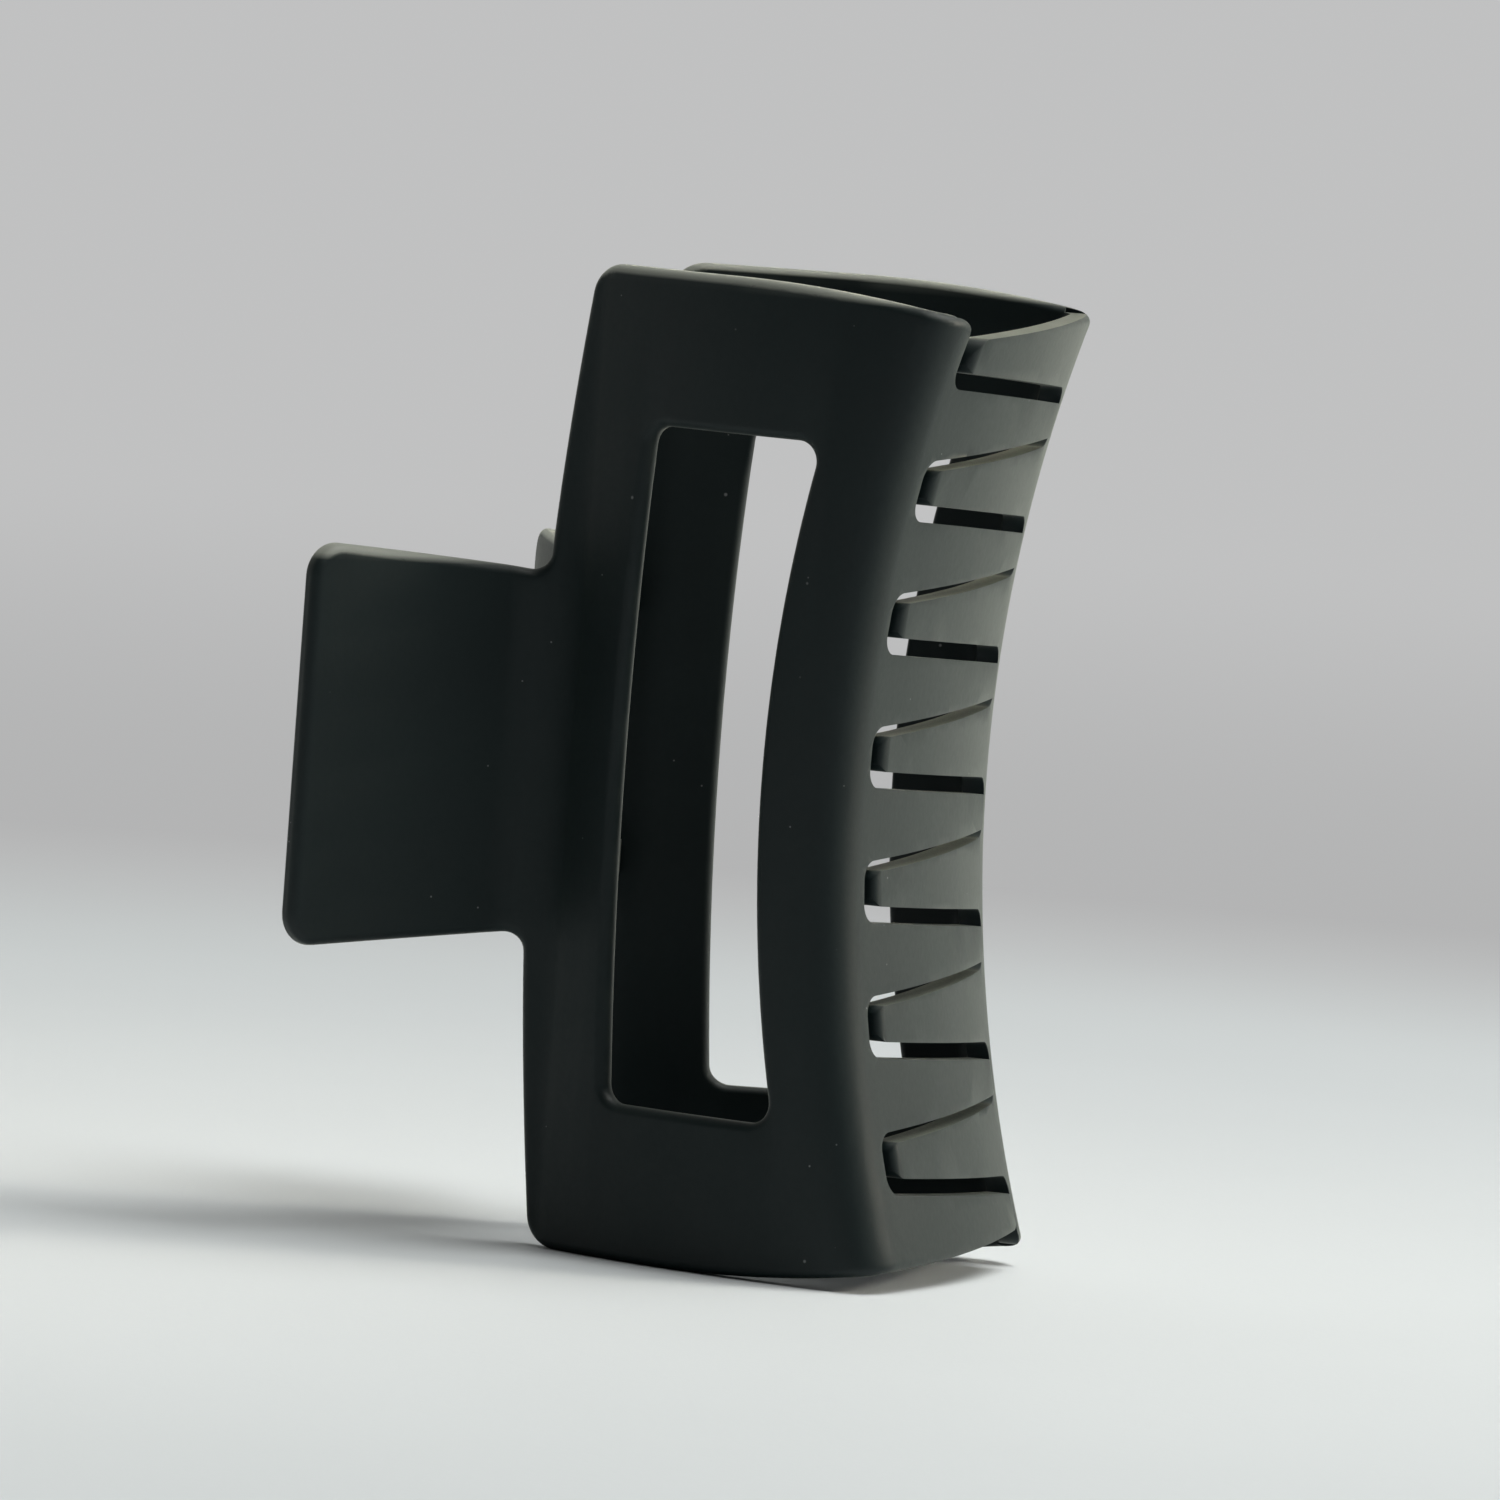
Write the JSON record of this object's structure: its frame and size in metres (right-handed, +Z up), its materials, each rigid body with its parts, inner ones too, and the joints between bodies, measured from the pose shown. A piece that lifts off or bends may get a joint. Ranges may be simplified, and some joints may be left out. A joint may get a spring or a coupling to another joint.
{
  "type": "claw clip",
  "caption": "Hair claw clip whose curved, windowed jaws carry thumb pads and interlocking comb teeth, and pivot on a sprung hinge pin.",
  "frame": {"origin": "under the middle of the closed clip, on the surface that it stands on", "axes": "+Z up along the clip's length and its hinge, +X towards the combs, -X towards the thumb pads, -Y out of the front jaw"},
  "size_m": [0.0718, 0.0718, 0.11],
  "materials": {
    "jaw_plastic": "near-black soft-touch plastic with a fine matt grain",
    "pin_steel": "plain drawn steel",
    "spring_steel": "drawn spring wire"
  },
  "bodies": {
    "front": {"front_jaw": "jaw_plastic", "hinge_pin": "pin_steel", "torsion_spring": "spring_steel"},
    "rear": {"rear_jaw": "jaw_plastic"}
  },
  "joints": [
    {"name": "jaw_hinge", "type": "hinge", "parent": "front", "child": "rear", "pos_m": [-0.01556, 0, 0.055], "axis": [0, 0, 1], "range_deg": [0, 112], "stiffness_Nm_per_rad": 0.15, "springref_deg": -45.84, "deforming": ["torsion_spring"]}
  ]
}
